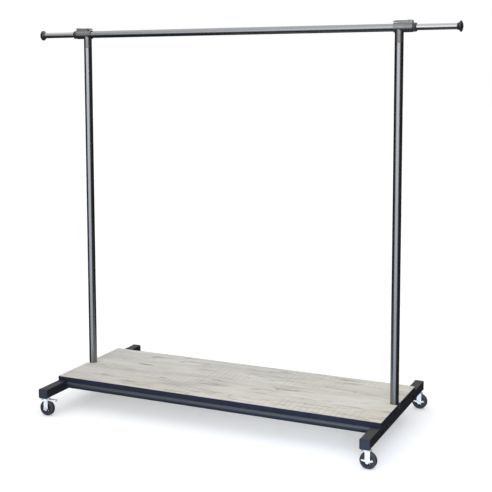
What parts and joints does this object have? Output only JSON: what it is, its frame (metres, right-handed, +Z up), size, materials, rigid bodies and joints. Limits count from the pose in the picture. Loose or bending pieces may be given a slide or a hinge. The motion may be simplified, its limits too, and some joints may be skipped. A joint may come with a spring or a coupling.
{
  "type": "rolling clothes rack",
  "caption": "Rolling clothes rack with a tube base, a low plank shelf, two round uprights and a hanging bar with pull-out ends, on swivel casters.",
  "frame": {"origin": "on the floor, at the middle of the rack between the four casters", "axes": "+X along the hanging bar to the right, +Y from front to back, +Z up"},
  "size_m": [1.772, 0.72, 1.5265],
  "materials": {
    "tube": "glossy gunmetal coat",
    "foot_tube": "satin black powder coat",
    "rail_tube": "satin blue-black powder coat",
    "cap_plastic": "moulded, fine grain",
    "board": "whitewashed plank decor, matt",
    "edge_band": "thin dark edging",
    "connector_plastic": "moulded, gunmetal finish",
    "lever_plastic": "moulded, semi-gloss",
    "collar_rubber": "smooth",
    "rod_tube": "polished dark chrome",
    "stop_plastic": "moulded",
    "glide_plastic": "natural nylon",
    "fixing_black": "black oxide",
    "insert_steel": "zinc plated",
    "fork_zinc": "bright zinc plate",
    "axle_steel": "zinc plated",
    "hub_plastic": "moulded",
    "tyre": "smooth tread, fine mould texture"
  },
  "bodies": {
    "frame": {"foot_left": "foot_tube", "foot_right": "foot_tube", "foot_cap_front_left": "cap_plastic", "foot_cap_rear_left": "cap_plastic", "foot_cap_front_right": "cap_plastic", "foot_cap_rear_right": "cap_plastic", "rail_front": "rail_tube", "rail_rear": "rail_tube", "rail_inserts": "insert_steel", "upright_inserts": "insert_steel", "frame_bolts": "fixing_black", "upright_left": "tube", "upright_right": "tube", "shelf_board": "board", "shelf_edge_band": "edge_band", "shelf_screws": "fixing_black", "connector_left": "connector_plastic", "connector_right": "connector_plastic", "collar_left": "collar_rubber", "collar_right": "collar_rubber", "connector_screws": "fixing_black", "lever_pins": "fixing_black", "main_bar": "tube", "caster_stems": "axle_steel", "caster_nuts": "insert_steel"},
    "rod_left": {"pull_out_rod_left": "rod_tube", "rod_glide_left": "glide_plastic", "rod_stop_left": "stop_plastic"},
    "lever_left": {"lock_lever_left": "lever_plastic"},
    "rod_right": {"pull_out_rod_right": "rod_tube", "rod_glide_right": "glide_plastic", "rod_stop_right": "stop_plastic"},
    "lever_right": {"lock_lever_right": "lever_plastic"},
    "swivel_front_left": {"caster_fork_front_left": "fork_zinc", "caster_axle_front_left": "axle_steel"},
    "wheel_front_left": {"wheel_hub_front_left": "hub_plastic", "wheel_tyre_front_left": "tyre"},
    "swivel_rear_left": {"caster_fork_rear_left": "fork_zinc", "caster_axle_rear_left": "axle_steel"},
    "wheel_rear_left": {"wheel_hub_rear_left": "hub_plastic", "wheel_tyre_rear_left": "tyre"},
    "swivel_front_right": {"caster_fork_front_right": "fork_zinc", "caster_axle_front_right": "axle_steel"},
    "wheel_front_right": {"wheel_hub_front_right": "hub_plastic", "wheel_tyre_front_right": "tyre"},
    "brake_front_right": {"brake_lever_front_right": "fork_zinc"},
    "swivel_rear_right": {"caster_fork_rear_right": "fork_zinc", "caster_axle_rear_right": "axle_steel"},
    "wheel_rear_right": {"wheel_hub_rear_right": "hub_plastic", "wheel_tyre_rear_right": "tyre"},
    "brake_rear_right": {"brake_lever_rear_right": "fork_zinc"}
  },
  "joints": [
    {"name": "rod_slide_left", "type": "slide", "parent": "frame", "child": "rod_left", "axis": [-1, 0, 0], "range_m": [-0.143, 0.12]},
    {"name": "lever_hinge_left", "type": "hinge", "parent": "frame", "child": "lever_left", "pos_m": [-0.696, 0, 1.522], "axis": [0, -1, 0], "range_deg": [0, 100]},
    {"name": "rod_slide_right", "type": "slide", "parent": "frame", "child": "rod_right", "axis": [1, 0, 0], "range_m": [-0.143, 0.12]},
    {"name": "lever_hinge_right", "type": "hinge", "parent": "frame", "child": "lever_right", "pos_m": [0.696, 0, 1.522], "axis": [0, 1, 0], "range_deg": [0, 100]},
    {"name": "swivel_front_left", "type": "hinge", "parent": "frame", "child": "swivel_front_left", "pos_m": [-0.658, -0.34, 0.066], "axis": [0, 0, 1], "continuous": true},
    {"name": "roll_front_left", "type": "hinge", "parent": "swivel_front_left", "child": "wheel_front_left", "pos_m": [-0.65, -0.34, 0.03], "axis": [0, 1, 0], "continuous": true},
    {"name": "swivel_rear_left", "type": "hinge", "parent": "frame", "child": "swivel_rear_left", "pos_m": [-0.658, 0.34, 0.066], "axis": [0, 0, 1], "continuous": true},
    {"name": "roll_rear_left", "type": "hinge", "parent": "swivel_rear_left", "child": "wheel_rear_left", "pos_m": [-0.65, 0.34, 0.03], "axis": [0, 1, 0], "continuous": true},
    {"name": "swivel_front_right", "type": "hinge", "parent": "frame", "child": "swivel_front_right", "pos_m": [0.658, -0.34, 0.066], "axis": [0, 0, 1], "continuous": true},
    {"name": "roll_front_right", "type": "hinge", "parent": "swivel_front_right", "child": "wheel_front_right", "pos_m": [0.666, -0.34, 0.03], "axis": [0, 1, 0], "continuous": true},
    {"name": "brake_front_right", "type": "hinge", "parent": "swivel_front_right", "child": "brake_front_right", "pos_m": [0.666, -0.34, 0.03], "axis": [0, 1, 0], "range_deg": [0, 18]},
    {"name": "swivel_rear_right", "type": "hinge", "parent": "frame", "child": "swivel_rear_right", "pos_m": [0.658, 0.34, 0.066], "axis": [0, 0, 1], "continuous": true},
    {"name": "roll_rear_right", "type": "hinge", "parent": "swivel_rear_right", "child": "wheel_rear_right", "pos_m": [0.666, 0.34, 0.03], "axis": [0, 1, 0], "continuous": true},
    {"name": "brake_rear_right", "type": "hinge", "parent": "swivel_rear_right", "child": "brake_rear_right", "pos_m": [0.666, 0.34, 0.03], "axis": [0, 1, 0], "range_deg": [0, 18]}
  ]
}
